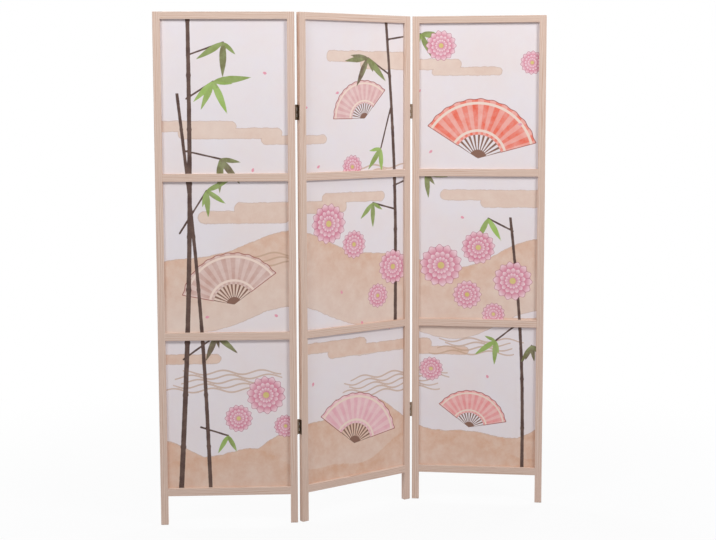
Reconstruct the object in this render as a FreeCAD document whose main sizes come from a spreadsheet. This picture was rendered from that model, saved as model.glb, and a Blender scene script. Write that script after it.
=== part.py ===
import FreeCAD, Part
import math
import os
import re
import Sketcher
from types import SimpleNamespace

# Folding screen of three panels, in millimetres. Each panel is a softwood frame with a printed sheet
# stretched behind its rails, and small butt hinges join the panels edge to edge. Z is up, the printed fronts
# look towards -Y, the left panel lies along X, and the origin is on the floor amid the screen as it stands.

SIZES = {
    # whole screen, and how far each fold is bent out of a straight line, in degrees
    "screen_height": 1700,
    "panel_width": 458,
    "left_fold_bend": 33,
    "right_fold_bend": 43,
    # frame of one panel
    "frame_depth": 18,
    "stile_width": 24,
    "top_rail_height": 24,
    "cross_rail_height": 26,
    "bottom_rail_height": 26,
    "leg_length": 98,
    "arris": 1,
    # rabbet at the back of the frame, the sheet in it and the beads that hold the sheet
    "front_lip": 9,
    "rabbet_width": 8,
    "sheet_thickness": 0.6,
    "sheet_edge_play": 0.5,
    "sheet_play": 0.1,
    "bead_width": 7.5,
    "bead_setback": 0.4,
    "bead_bevel": 2.5,
    "bead_end_play": 0.2,
    # stub tenons of the cross rails, and the longer ones of the top and bottom rails
    "cross_tenon_length": 8,
    "cross_tenon_cheek": 2,
    "end_tenon_length": 14,
    "end_tenon_cheek": 4.5,
    "tenon_shoulder": 4,
    "tenon_play": 0.1,
    "mortise_end_play": 0.5,
    # brads through the beads into the frame
    "brad_length": 15,
    "brad_width": 1.2,
    "brad_thickness": 1,
    # butt hinges on the edges of the stiles
    "hinge_height": 50,
    "hinge_inset": 325,
    "pin_offset": 1.5,
    "pin_radius": 1.75,
    "pin_play": 0.05,
    "pin_proud": 0.3,
    "leaf_thickness": 1.2,
    "leaf_margin": 3,
    "knuckle_play": 0.2,
    "notch_play": 0.4,
    # countersunk screws of the hinges
    "screw_spacing": 17,
    "screw_length": 12,
    "screw_radius": 1.45,
    "screw_tip": 2.5,
    "screw_point_radius": 0.3,
    "screw_head_radius": 2.75,
    "screw_play": 0.05,
    "hole_land": 0.1,
    # how far a cut runs past the material
    "overrun": 1,
}

# A hinge barrel is cut into five equal knuckles. These are the stretches that each leaf leaves to the other,
# in knuckle lengths up from the middle of the hinge.
KNUCKLE_COUNT = 5
MIDDLE_LEAF_GAPS = ((-1.5, -0.5), (0.5, 1.5))
SIDE_LEAF_GAPS = ((-2.5, -1.5), (-0.5, 0.5), (1.5, 2.5))

# Each leaf has a screw in the middle and one at each end, in steps of the screw spacing. There are many
# screws, so they and their holes are twelve-sided.
SCREW_STEPS = (-1, 0, 1)
SCREW_SIDES = 12

# Places of the brads, as shares of the length of their bead, clear of the cross rails' tenons.
SIDE_BRAD_SHARES = (0.03, 0.2, 0.42, 0.58, 0.8, 0.97)
END_BRAD_SHARES = (0.06, 0.5, 0.94)

# Points that are nearer than this share of the arris count as one.
SAME_SHARE = 0.01

size = SimpleNamespace(**SIZES)
doc = FreeCAD.newDocument("FoldingScreen")
sheet = doc.addObject("Spreadsheet::Sheet", "Sizes")
for row, (alias, value) in enumerate(SIZES.items(), start=1):
    sheet.set("A%d" % row, alias.replace("_", " "))
    sheet.set("B%d" % row, str(value))
    sheet.setAlias("B%d" % row, alias)
doc.recompute()

# Heights and widths that several pieces share, as formulas in the sheet's names. The three fields are equal.
OPENING_LEFT = "stile_width"
OPENING_RIGHT = "(panel_width - stile_width)"
RABBET_LEFT = "(stile_width - rabbet_width)"
RABBET_RIGHT = "(panel_width - stile_width + rabbet_width)"
RABBET_FOOT = "(leg_length + bottom_rail_height - rabbet_width)"
RABBET_HEAD = "(screen_height - top_rail_height + rabbet_width)"
RAILS = "(bottom_rail_height + 2 * cross_rail_height + top_rail_height)"
FIELD = f"((screen_height - leg_length - {RAILS}) / 3)"
LOWER_RAIL_FOOT = f"(leg_length + bottom_rail_height + {FIELD})"
UPPER_RAIL_FOOT = f"({LOWER_RAIL_FOOT} + cross_rail_height + {FIELD})"
BEAD_FRONT = "(front_lip + sheet_thickness + sheet_play)"
BEAD_BACK = "(frame_depth - bead_setback)"
BARREL_RADIUS = "(pin_radius + pin_play + leaf_thickness)"
LEAF_REACH = "(frame_depth + pin_offset - leaf_margin)"
SCREW_ROW = "(pin_offset + (frame_depth - leaf_margin) / 2)"
COUNTERSINK = "(leaf_thickness - hole_land)"
HOLE_RADIUS = f"(screw_head_radius + screw_play - {COUNTERSINK})"

# The same in numbers, where a piece is placed or an edge is looked up.
barrel_radius = size.pin_radius + size.pin_play + size.leaf_thickness
screw_row = size.pin_offset + (size.frame_depth - size.leaf_margin) / 2
hole_radius = size.screw_head_radius + size.screw_play - (size.leaf_thickness - size.hole_land)
rabbet_foot = size.leg_length + size.bottom_rail_height - size.rabbet_width
rabbet_head = size.screen_height - size.top_rail_height + size.rabbet_width


def bind(thing, prop, formula):
    """Ties a property to a formula whose words are names in the sheet."""
    thing.setExpression(prop, re.sub(r"[a-z_]+", lambda word: "Sizes." + word.group(), formula))


def same(one, other):
    """True where two lengths differ by nothing that matters."""
    return abs(one - other) < SAME_SHARE * size.arris


def new_body(name):
    """A body under the name of its piece."""
    body = doc.addObject("PartDesign::Body", name)
    body.Label = name
    return body


def new_sketch(body, role, offset="0"):
    """A sketch on one of the body's own origin planes, moved along the plane's normal."""
    sketch = body.newObject("Sketcher::SketchObject", body.Name + "_outline")
    plane = next(item for item in body.Origin.OriginFeatures if item.Role == role)
    sketch.AttachmentSupport = [(plane, "")]
    sketch.MapMode = "FlatFace"
    bind(sketch, "AttachmentOffset.Base.z", offset)
    return sketch


def place_point(sketch, geometry, point, across, up):
    """Holds a point at two distances from the sketch's origin."""
    now = sketch.getPoint(geometry, point)
    for kind, value, formula in (("DistanceX", now.x, across), ("DistanceY", now.y, up)):
        index = sketch.addConstraint(Sketcher.Constraint(kind, -1, 1, geometry, point, value))
        bind(sketch, f"Constraints[{index}]", formula)


def add_outline(sketch, corners):
    """A closed outline of straight lines through corners, each a pair of formulas."""
    first = sketch.GeometryCount
    count = len(corners)
    angles = [math.tau * index / count for index in range(count)]
    loose = [FreeCAD.Vector(math.cos(angle), math.sin(angle), 0) for angle in angles]
    for index in range(count):
        sketch.addGeometry(Part.LineSegment(loose[index], loose[(index + 1) % count]))
    for index, (across, up) in enumerate(corners):
        following = first + (index + 1) % count
        sketch.addConstraint(Sketcher.Constraint("Coincident", first + index, 2, following, 1))
        place_point(sketch, first + index, 1, across, up)


def add_rectangle(sketch, left, right, low, high):
    """A rectangle between two pairs of formulas."""
    add_outline(sketch, ((left, low), (right, low), (right, high), (left, high)))


def add_circle(sketch, radius):
    """A circle about the sketch's origin."""
    geometry = sketch.addGeometry(Part.Circle(FreeCAD.Vector(1, 1, 0), FreeCAD.Vector(0, 0, 1), 1))
    place_point(sketch, geometry, 3, "0", "0")
    index = sketch.addConstraint(Sketcher.Constraint("Radius", geometry, 1))
    bind(sketch, f"Constraints[{index}]", radius)


def add_screw_ring(sketch, radius, across="0", up="0"):
    """A twelve-sided ring, for a screw or the hole of one."""
    corners = []
    for index in range(SCREW_SIDES):
        angle = math.tau * index / SCREW_SIDES
        corners.append((
            f"{across} + {math.cos(angle):.6f} * {radius}",
            f"{up} + {math.sin(angle):.6f} * {radius}",
        ))
    add_outline(sketch, corners)


def add_pad(body, sketch, length, both_ways=False):
    """Extrudes a sketch along its normal, or by half the length to each side."""
    pad = body.newObject("PartDesign::Pad", body.Name + "_pad")
    pad.Profile = sketch
    pad.SideType = "Symmetric" if both_ways else "One side"
    bind(pad, "Length", length)
    doc.recompute()


def add_pocket(body, sketch, depth, along_normal=False, both_ways=False):
    """Cuts a sketch out of the body, against its normal, along it, or by half the depth to each side."""
    before = body.Shape.Volume
    pocket = body.newObject("PartDesign::Pocket", body.Name + "_cut")
    pocket.Profile = sketch
    pocket.Reversed = along_normal
    pocket.SideType = "Symmetric" if both_ways else "One side"
    bind(pocket, "Length", depth)
    check_cut(body, before)


def check_cut(body, before):
    """Stops the build where a cut has taken nothing away."""
    doc.recompute()
    if not body.Shape.Volume < before:
        raise RuntimeError("a cut missed " + body.Label)


def bevel_edges(body, width, wanted):
    """Bevels each edge whose ends and middle all pass a test on a point."""
    base = body.Tip
    names = []
    for index, edge in enumerate(base.Shape.Edges, start=1):
        middle = edge.valueAt((edge.FirstParameter + edge.LastParameter) / 2)
        if all(wanted(point) for point in [middle] + [vertex.Point for vertex in edge.Vertexes]):
            names.append(f"Edge{index}")
    if not names:
        raise RuntimeError("no edge to bevel on " + body.Label)
    bevel = body.newObject("PartDesign::Chamfer", body.Name + "_bevel")
    bevel.Base = (base, names)
    bind(bevel, "Size", width)
    doc.recompute()


# The pieces of one panel are made in the panel's own frame: X from its left edge, Y from its front face to
# the back, Z from the floor.


def end_tenon(at_top, play):
    """Outline of a top or bottom rail's tenon, or of its mortise with some play."""
    low, high = (RABBET_HEAD, "screen_height") if at_top else ("leg_length", RABBET_FOOT)
    return (
        f"end_tenon_cheek - {play}",
        f"frame_depth - end_tenon_cheek + {play}",
        f"{low} + tenon_shoulder - {play}",
        f"{high} - tenon_shoulder + {play}",
    )


def cross_tenon(foot, play):
    """Outline of a cross rail's tenon, or of its mortise with some play."""
    return (
        f"cross_tenon_cheek - {play}",
        f"front_lip - cross_tenon_cheek + {play}",
        f"{foot} + tenon_shoulder - {play}",
        f"{foot} + cross_rail_height - tenon_shoulder + {play}",
    )


def make_stile(name, on_left):
    """An upright whose lower end is a leg: a post with the rabbet and a mortise for each rail."""
    body = new_body(name)
    section = new_sketch(body, "XY_Plane")
    left, right = ("0", OPENING_LEFT) if on_left else (OPENING_RIGHT, "panel_width")
    add_rectangle(section, left, right, "0", "frame_depth")
    add_pad(body, section, "screen_height")
    outer_side = 0 if on_left else size.panel_width

    def is_arris(point):
        on_face = same(point.y, 0) or same(point.y, size.frame_depth)
        on_end = same(point.z, 0) or same(point.z, size.screen_height)
        on_side = same(point.x, outer_side)
        return (on_side and on_face) or (on_side and on_end) or (on_face and on_end)

    bevel_edges(body, "arris", is_arris)
    rabbet = new_sketch(body, "XZ_Plane", "-front_lip")
    cut_left, cut_right = (RABBET_LEFT, OPENING_LEFT) if on_left else (OPENING_RIGHT, RABBET_RIGHT)
    add_rectangle(rabbet, cut_left, cut_right, RABBET_FOOT, RABBET_HEAD)
    add_pocket(body, rabbet, "frame_depth - front_lip + overrun")
    ends = [end_tenon(at_top, "tenon_play") for at_top in (True, False)]
    crosses = [cross_tenon(foot, "tenon_play") for foot in (LOWER_RAIL_FOOT, UPPER_RAIL_FOOT)]
    add_mortises(body, on_left, "end_tenon_length", ends)
    add_mortises(body, on_left, "cross_tenon_length", crosses)
    return body


def add_mortises(body, on_left, length, outlines):
    """Cuts the mortises for tenons of one length, from their floor to the stile's inner side."""
    depth = f"({length} + mortise_end_play)"
    floor = f"{OPENING_LEFT} - {depth}" if on_left else f"{OPENING_RIGHT} + {depth}"
    sketch = new_sketch(body, "YZ_Plane", floor)
    for outline in outlines:
        add_rectangle(sketch, *outline)
    add_pocket(body, sketch, depth, along_normal=on_left)


def add_tenons(body, length, outline):
    """A core that stands out of both ends of a rail."""
    sketch = new_sketch(body, "YZ_Plane", f"{OPENING_LEFT} - {length}")
    add_rectangle(sketch, *outline)
    add_pad(body, sketch, f"{OPENING_RIGHT} - {OPENING_LEFT} + 2 * {length}")


def make_end_rail(name, at_top):
    """The top or bottom rail: a bar with the rabbet along its inner edge, and a tenon at each end."""
    body = new_body(name)
    if at_top:
        outer, step, inner = "screen_height", RABBET_HEAD, "screen_height - top_rail_height"
        outer_height, inner_height = size.screen_height, size.screen_height - size.top_rail_height
    else:
        outer, step, inner = "leg_length", RABBET_FOOT, "leg_length + bottom_rail_height"
        outer_height, inner_height = size.leg_length, size.leg_length + size.bottom_rail_height
    section = new_sketch(body, "YZ_Plane", OPENING_LEFT)
    add_outline(section, (
        ("0", outer),
        ("frame_depth", outer),
        ("frame_depth", step),
        ("front_lip", step),
        ("front_lip", inner),
        ("0", inner),
    ))
    add_pad(body, section, f"{OPENING_RIGHT} - {OPENING_LEFT}")

    def is_arris(point):
        on_front = same(point.y, 0)
        on_back = same(point.y, size.frame_depth)
        on_outer = same(point.z, outer_height)
        return (on_front and (on_outer or same(point.z, inner_height))) or (on_back and on_outer)

    bevel_edges(body, "arris", is_arris)
    add_tenons(body, "end_tenon_length", end_tenon(at_top, "0"))
    return body


def make_cross_rail(name, foot):
    """A cross rail: a flat bar in front of the sheet, with a stub tenon at each end."""
    body = new_body(name)
    section = new_sketch(body, "YZ_Plane", OPENING_LEFT)
    add_rectangle(section, "0", "front_lip", foot, f"{foot} + cross_rail_height")
    add_pad(body, section, f"{OPENING_RIGHT} - {OPENING_LEFT}")
    box = body.Shape.BoundBox

    def is_arris(point):
        return same(point.y, 0) and (same(point.z, box.ZMin) or same(point.z, box.ZMax))

    bevel_edges(body, "arris", is_arris)
    add_tenons(body, "cross_tenon_length", cross_tenon(foot, "0"))
    return body


def make_sheet(name):
    """The printed sheet, stretched flat on the rabbet's floor and the backs of the cross rails."""
    body = new_body(name)
    outline = new_sketch(body, "XZ_Plane", "-(front_lip + sheet_thickness)")
    add_rectangle(
        outline,
        f"{RABBET_LEFT} + sheet_edge_play",
        f"{RABBET_RIGHT} - sheet_edge_play",
        f"{RABBET_FOOT} + sheet_edge_play",
        f"{RABBET_HEAD} - sheet_edge_play",
    )
    add_pad(body, outline, "sheet_thickness")
    return body


def make_side_bead(name, on_left):
    """An upright bead as long as the rabbet, with its inner back corner bevelled."""
    body = new_body(name)
    wall, inwards = (RABBET_LEFT, "+") if on_left else (RABBET_RIGHT, "-")
    section = new_sketch(body, "XY_Plane", RABBET_FOOT)
    add_outline(section, (
        (wall, BEAD_FRONT),
        (f"{wall} {inwards} bead_width", BEAD_FRONT),
        (f"{wall} {inwards} bead_width", f"{BEAD_BACK} - bead_bevel"),
        (f"{wall} {inwards} (bead_width - bead_bevel)", BEAD_BACK),
        (wall, BEAD_BACK),
    ))
    add_pad(body, section, f"{RABBET_HEAD} - {RABBET_FOOT}")
    return body


def make_end_bead(name, at_top):
    """A bead along the top or bottom rail, between the upright beads."""
    body = new_body(name)
    wall, inwards = (RABBET_HEAD, "-") if at_top else (RABBET_FOOT, "+")
    section = new_sketch(body, "YZ_Plane", f"{RABBET_LEFT} + bead_width + bead_end_play")
    add_outline(section, (
        (BEAD_FRONT, wall),
        (BEAD_FRONT, f"{wall} {inwards} bead_width"),
        (f"{BEAD_BACK} - bead_bevel", f"{wall} {inwards} bead_width"),
        (BEAD_BACK, f"{wall} {inwards} (bead_width - bead_bevel)"),
        (BEAD_BACK, wall),
    ))
    add_pad(body, section, f"{RABBET_RIGHT} - {RABBET_LEFT} - 2 * (bead_width + bead_end_play)")
    return body


def as_piece(name, shape):
    """A piece that holds a finished shape."""
    piece = doc.addObject("Part::Feature", name)
    piece.Label = name
    piece.Shape = shape
    return piece


def make_brads(name):
    """The brads of a panel's beads, driven from the back through bead and sheet into the frame."""
    wall_left = size.stile_width - size.rabbet_width
    bead_start = wall_left + size.bead_width + size.bead_end_play
    bead_length = size.panel_width - 2 * bead_start
    middle = size.bead_width / 2
    places = []
    for share in SIDE_BRAD_SHARES:
        height = rabbet_foot + share * (rabbet_head - rabbet_foot)
        places += [(wall_left + middle, height), (size.panel_width - wall_left - middle, height)]
    for share in END_BRAD_SHARES:
        across = bead_start + share * bead_length
        places += [(across, rabbet_foot + middle), (across, rabbet_head - middle)]
    half = FreeCAD.Vector(size.brad_width / 2, size.brad_length, size.brad_thickness / 2)
    back = size.frame_depth - size.bead_setback
    solids = []
    for across, height in places:
        corner = FreeCAD.Vector(across, back, height) - half
        solids.append(Part.makeBox(size.brad_width, size.brad_length, size.brad_thickness, corner))
    return as_piece(name, Part.makeCompound(solids))


# The pieces of a hinge are made once, in the hinge's own frame, and copied to the four hinges: Z up the pin,
# X square to the stile's edge that the leaf lies on, Y from the far edge of the leaf towards the pin.


def make_leaf(name, gaps):
    """A hinge leaf: a plate tangent to its knuckles, with three countersunk holes."""
    body = new_body(name)
    plate = new_sketch(body, "XY_Plane")
    add_rectangle(plate, f"{BARREL_RADIUS} - leaf_thickness", BARREL_RADIUS, f"-{LEAF_REACH}", "0")
    add_pad(body, plate, "hinge_height", both_ways=True)
    barrel = new_sketch(body, "XY_Plane")
    add_circle(barrel, BARREL_RADIUS)
    add_pad(body, barrel, "hinge_height", both_ways=True)
    notches = new_sketch(body, "YZ_Plane")
    for low, high in gaps:
        low_play = "overrun" if low == -KNUCKLE_COUNT / 2 else "knuckle_play / 2"
        high_play = "overrun" if high == KNUCKLE_COUNT / 2 else "knuckle_play / 2"
        add_rectangle(
            notches,
            f"-({BARREL_RADIUS} + notch_play)",
            f"{BARREL_RADIUS} + overrun",
            f"{low} * hinge_height / {KNUCKLE_COUNT} - {low_play}",
            f"{high} * hinge_height / {KNUCKLE_COUNT} + {high_play}",
        )
    add_pocket(body, notches, f"2 * ({BARREL_RADIUS} + overrun)", both_ways=True)
    bore = new_sketch(body, "XY_Plane")
    add_circle(bore, "pin_radius + pin_play")
    add_pocket(body, bore, "hinge_height + 2 * overrun", both_ways=True)
    for step in SCREW_STEPS:
        add_countersunk_hole(body, step)
    return body


def add_countersunk_hole(body, step):
    """Cuts one of a leaf's screw holes and bevels its mouth on the leaf's inner face."""
    hole = new_sketch(body, "YZ_Plane", BARREL_RADIUS)
    add_screw_ring(hole, HOLE_RADIUS, f"-{SCREW_ROW}", f"{step} * screw_spacing")
    add_pocket(body, hole, "leaf_thickness + overrun")
    inner_face = barrel_radius - size.leaf_thickness
    height = step * size.screw_spacing

    def is_mouth(point):
        from_middle = math.hypot(point.y + screw_row, point.z - height)
        return same(point.x, inner_face) and from_middle < hole_radius + size.screw_play

    bevel_edges(body, COUNTERSINK, is_mouth)


def make_pin(name):
    """A hinge pin, which stands a little proud of the barrel at both ends."""
    body = new_body(name)
    section = new_sketch(body, "XY_Plane")
    add_circle(section, "pin_radius")
    add_pad(body, section, "hinge_height + 2 * pin_proud", both_ways=True)
    return body


def make_screw(name):
    """A countersunk screw along X, with the flat of its head at the origin."""
    body = new_body(name)
    stations = (
        ("0", "screw_head_radius"),
        ("screw_head_radius - screw_radius", "screw_radius"),
        ("screw_length - screw_tip", "screw_radius"),
        ("screw_length", "screw_point_radius"),
    )
    sections = []
    for along, radius in stations:
        section = new_sketch(body, "YZ_Plane", along)
        add_screw_ring(section, radius)
        sections.append(section)
    loft = body.newObject("PartDesign::AdditiveLoft", name + "_loft")
    loft.Profile = sections[0]
    loft.Sections = sections[1:]
    loft.Ruled = True
    doc.recompute()
    return body


UP = FreeCAD.Vector(0, 0, 1)
HALF_TURN = math.degrees(math.pi)

# How far each panel is turned in plan, and where the two rows of pins are behind or before the front face.
TURNS = {
    "left_panel": 0,
    "middle_panel": size.left_fold_bend,
    "right_panel": size.left_fold_bend - size.right_fold_bend,
}
BACK_PIN = size.frame_depth + size.pin_offset
FRONT_PIN = -size.pin_offset
LEFT_OF_PANEL = -barrel_radius
RIGHT_OF_PANEL = size.panel_width + barrel_radius

# Where the hinge's own frame lies on each panel that carries a leaf, and the axis of its half turn there. The
# left fold has its pins at the back and the right fold at the front, so the screen folds up in a zigzag.
HINGE_SEATS = {
    ("left_panel", "left_fold"): (RIGHT_OF_PANEL, BACK_PIN, FreeCAD.Vector(0, 1, 0)),
    ("middle_panel", "left_fold"): (LEFT_OF_PANEL, BACK_PIN, None),
    ("middle_panel", "right_fold"): (RIGHT_OF_PANEL, FRONT_PIN, UP),
    ("right_panel", "right_fold"): (LEFT_OF_PANEL, FRONT_PIN, FreeCAD.Vector(1, 0, 0)),
}
HINGE_LEVELS = {
    "upper": size.screen_height - size.hinge_inset,
    "lower": size.hinge_inset,
}


def in_plan(panel, across, back):
    """The way from a panel's left front corner to a point of the panel, turned as the panel stands."""
    return FreeCAD.Rotation(UP, TURNS[panel]).multVec(FreeCAD.Vector(across, back, 0))


def find_places():
    """Each panel's left front corner and each fold's pins in plan, with the origin amid the screen."""
    corners = {"left_panel": FreeCAD.Vector()}
    left_pin = in_plan("left_panel", RIGHT_OF_PANEL, BACK_PIN)
    corners["middle_panel"] = left_pin - in_plan("middle_panel", LEFT_OF_PANEL, BACK_PIN)
    right_pin = corners["middle_panel"] + in_plan("middle_panel", RIGHT_OF_PANEL, FRONT_PIN)
    corners["right_panel"] = right_pin - in_plan("right_panel", LEFT_OF_PANEL, FRONT_PIN)
    outline = []
    for panel, corner in corners.items():
        for across in (0, size.panel_width):
            inset = size.arris if across == 0 else -size.arris
            for back in (0, size.frame_depth):
                step = size.arris if back == 0 else -size.arris
                outline.append(corner + in_plan(panel, across + inset, back))
                outline.append(corner + in_plan(panel, across, back + step))
    amid = FreeCAD.Vector(
        (min(point.x for point in outline) + max(point.x for point in outline)) / 2,
        (min(point.y for point in outline) + max(point.y for point in outline)) / 2,
        0,
    )
    moved = {panel: corner - amid for panel, corner in corners.items()}
    return moved, {"left_fold": left_pin - amid, "right_fold": right_pin - amid}


CORNERS, PINS = find_places()
nodes = []


def stand(piece, panel, seat=None):
    """Puts a piece where its panel stands, and takes it up as a node."""
    place = FreeCAD.Placement(CORNERS[panel], FreeCAD.Rotation(UP, TURNS[panel]))
    piece.Placement = place.multiply(seat) if seat else place
    nodes.append(piece)


def hinge_seat(panel, fold, level):
    """Where a hinge's own frame lies in the frame of a panel that carries one of its leaves."""
    across, back, axis = HINGE_SEATS[(panel, fold)]
    turn = FreeCAD.Rotation(axis, HALF_TURN) if axis else FreeCAD.Rotation()
    return FreeCAD.Placement(FreeCAD.Vector(across, back, HINGE_LEVELS[level]), turn)


def make_panel(panel):
    """The wooden frame of a panel, with its sheet, beads and brads."""
    stand(make_stile(panel + "_left_stile", True), panel)
    stand(make_stile(panel + "_right_stile", False), panel)
    stand(make_end_rail(panel + "_top_rail", True), panel)
    stand(make_cross_rail(panel + "_upper_cross_rail", UPPER_RAIL_FOOT), panel)
    stand(make_cross_rail(panel + "_lower_cross_rail", LOWER_RAIL_FOOT), panel)
    stand(make_end_rail(panel + "_bottom_rail", False), panel)
    stand(make_sheet(panel + "_printed_sheet"), panel)
    stand(make_side_bead(panel + "_left_bead", True), panel)
    stand(make_side_bead(panel + "_right_bead", False), panel)
    stand(make_end_bead(panel + "_top_bead", True), panel)
    stand(make_end_bead(panel + "_bottom_bead", False), panel)
    stand(make_brads(panel + "_brads"), panel)


def make_hinge(fold, level, side_panel):
    """One butt hinge: the middle panel's leaf with the pin, and the leaf of the panel beside it."""
    name = "%s_%s_hinge" % (fold.replace("_fold", ""), level)
    middle_seat = hinge_seat("middle_panel", fold, level)
    side_seat = hinge_seat(side_panel, fold, level)
    stand(as_piece(name + "_middle_leaf", middle_leaf.Shape), "middle_panel", middle_seat)
    stand(as_piece(name + "_pin", pin.Shape), "middle_panel", middle_seat)
    stand(as_piece(name + "_side_leaf", side_leaf.Shape), side_panel, side_seat)


def make_screws(panel):
    """All hinge screws of a panel, with their heads flush with the inner faces of the leaves."""
    inner_face = barrel_radius - size.leaf_thickness
    solids = []
    for carrier, fold in HINGE_SEATS:
        if carrier != panel:
            continue
        for level in HINGE_LEVELS:
            for step in SCREW_STEPS:
                head = FreeCAD.Vector(inner_face, -screw_row, step * size.screw_spacing)
                place = hinge_seat(panel, fold, level).multiply(FreeCAD.Placement(head, FreeCAD.Rotation()))
                solids.append(screw.Shape.transformed(place.toMatrix()))
    stand(as_piece(panel + "_hinge_screws", Part.makeCompound(solids)), panel)


def write_parts():
    """Checks every object of the document and every node's shape, and writes the nodes."""
    doc.recompute()
    for thing in doc.Objects:
        if "Invalid" in thing.State or "Error" in thing.State:
            raise RuntimeError("failed to build " + thing.Name)
    for node in nodes:
        if node.Shape.isNull() or not node.Shape.isValid():
            raise RuntimeError("bad shape in " + node.Label)
    os.makedirs("parts", exist_ok=True)
    for node in nodes:
        node.Shape.exportStep(f"parts/{node.Label}.step")


middle_leaf = make_leaf("middle_leaf", MIDDLE_LEAF_GAPS)
side_leaf = make_leaf("side_leaf", SIDE_LEAF_GAPS)
pin = make_pin("pin")
screw = make_screw("screw")
for panel_name in TURNS:
    make_panel(panel_name)
    make_screws(panel_name)
for level_name in HINGE_LEVELS:
    make_hinge("left_fold", level_name, "left_panel")
    make_hinge("right_fold", level_name, "right_panel")
write_parts()
print("nodes", len(nodes))
for fold_name, place in PINS.items():
    print(fold_name, "pin", [round(value, 4) for value in place])
for panel_name, corner in CORNERS.items():
    print(panel_name, "corner", [round(value, 4) for value in corner], "turned", TURNS[panel_name])
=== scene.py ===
# %% [markdown]
# # A folding screen of three panels
#
# This lesson dresses a room divider whose every stick of wood, hinge and screw has been drawn as a solid.
# The solids are loaded first and stay exactly where they are, because the joints turn about them. What is
# left for us is what the eye judges: the pale wood, the stretched and printed canvas, the dark little
# hinges, and the light of a studio.

# %% The solids of the screen
import math

import bmesh
import bpy
import numpy as np
from mathutils import Matrix, Vector


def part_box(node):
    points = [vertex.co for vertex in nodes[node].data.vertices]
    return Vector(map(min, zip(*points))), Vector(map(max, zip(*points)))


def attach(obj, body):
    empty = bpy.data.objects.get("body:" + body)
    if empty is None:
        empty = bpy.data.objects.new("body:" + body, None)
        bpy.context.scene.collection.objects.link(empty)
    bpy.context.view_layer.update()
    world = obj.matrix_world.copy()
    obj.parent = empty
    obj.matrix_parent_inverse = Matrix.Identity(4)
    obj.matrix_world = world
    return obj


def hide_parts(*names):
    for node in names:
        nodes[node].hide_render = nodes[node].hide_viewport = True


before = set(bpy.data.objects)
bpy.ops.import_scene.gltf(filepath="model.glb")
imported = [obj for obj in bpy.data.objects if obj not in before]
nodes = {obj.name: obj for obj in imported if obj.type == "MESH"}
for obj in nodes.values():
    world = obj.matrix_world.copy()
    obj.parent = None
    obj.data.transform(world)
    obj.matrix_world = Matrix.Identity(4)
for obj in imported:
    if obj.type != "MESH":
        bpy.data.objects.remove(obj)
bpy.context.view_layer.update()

# %% [markdown]
# ## Three panels, three directions
#
# The screen stands in a zigzag. The left panel lies along X, the middle one is turned 33 degrees and the
# right one 10 degrees the other way. Wood grain and print have to follow each panel, so nearly everything
# below works in a panel's own directions: across it, through it and up it.

# %% How the panels are turned
MM = 0.001
TURNS = {"left_panel": 0, "middle_panel": 33, "right_panel": -10}


def to_world(panel):
    """The turn that takes a panel's own directions to the world's."""
    return Matrix.Rotation(math.radians(TURNS[panel]), 4, "Z")


def panel_box(panel, node):
    """Lowest and highest corner of a node, in its panel's own directions."""
    back = to_world(panel).inverted()
    corners = np.array([back @ vertex.co for vertex in nodes[node].data.vertices])
    return Vector(corners.min(0)), Vector(corners.max(0))


for panel in TURNS:
    low, high = panel_box(panel, panel + "_printed_sheet")
    print(panel, "sheet in millimetres:", [round(value / MM, 1) for value in high - low])

# %% [markdown]
# ## Colours and nodes
#
# Colours are written as they would be on a screen, in hex, and one function turns them into the linear
# light that the renderer reckons with. A second small function adds a shader node. Its inputs are either
# plain values or the output of another node.

# %% Colours from hex


def colour(text):
    """A hex colour as linear red, green, blue and an alpha of one."""
    linear = []
    for index in (1, 3, 5):
        share = int(text[index:index + 2], 16) / 255
        linear.append(share / 12.92 if share <= 0.04045 else ((share + 0.055) / 1.055) ** 2.4)
    return (*linear, 1)


print("early wood in linear light:", [round(value, 3) for value in colour("#e2c8ba")])

# %% One function for any node


def add_node(tree, kind, inputs=None, **settings):
    """Adds a node, sets it up, and fills its inputs with values or with other nodes' outputs."""
    node = tree.nodes.new(kind)
    for name, value in settings.items():
        setattr(node, name, value)
    for name, value in (inputs or {}).items():
        if isinstance(value, bpy.types.NodeSocket):
            tree.links.new(value, node.inputs[name])
        else:
            node.inputs[name].default_value = value
    return node


def new_material(name):
    """An empty material with a surface shader, and its node tree."""
    material = bpy.data.materials.new(name)
    material.use_nodes = True
    tree = material.node_tree
    tree.nodes.clear()
    surface = add_node(tree, "ShaderNodeBsdfPrincipled")
    add_node(tree, "ShaderNodeOutputMaterial", {"Surface": surface.outputs[0]})
    return material, tree, surface


# %% [markdown]
# ## The wood
#
# The frames are planed and sanded pine, left nearly bare under a thin whitewash, so they look pale, a
# little pink and quite dull. Pine grows in rings: a wide pale band in spring, a narrow darker one in
# summer. A sawn stick cuts through them, and the rings run along it as lines that bend where the trunk
# bent.
#
# The pattern is built the way the tree built it: a wave across the grain gives the rings, and a slow noise,
# drawn out along the grain, bends them. Fine fibres are a second noise, drawn out much further. A panel's
# sticks run up or across, so each panel gets one wood for its uprights and one for its rails.

# %% The sizes and colours of the pine
UP, ACROSS = 2, 0
RING_WIDTH = 5.6 * MM
FIBRE_WIDTH = 0.9 * MM
BEND_WIDTH, BEND_PUSH = 20 * MM, 18 * MM
TINT_WIDTH = 90 * MM
GRAIN_HEIGHT = 0.12 * MM
# along the grain, the coordinates shrink to these shares, which draws the patterns out
RING_SHRINK, FIBRE_SHRINK = 0.055, 0.02
# where in a ring the summer wood sets in, how strongly it is coloured, and how far it stands up
SUMMER_START, SUMMER_SHARE, SUMMER_RELIEF = 0.45, 0.68, 0.3
# each wood has two tints, one merging into the other
EARLY_WOOD, LATE_WOOD = ("#e2c8ba", "#dec7b7"), ("#c99f88", "#c49d84")
# the wave texture multiplies its coordinate by this before it counts turns
WAVE_FACTOR = 20
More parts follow.
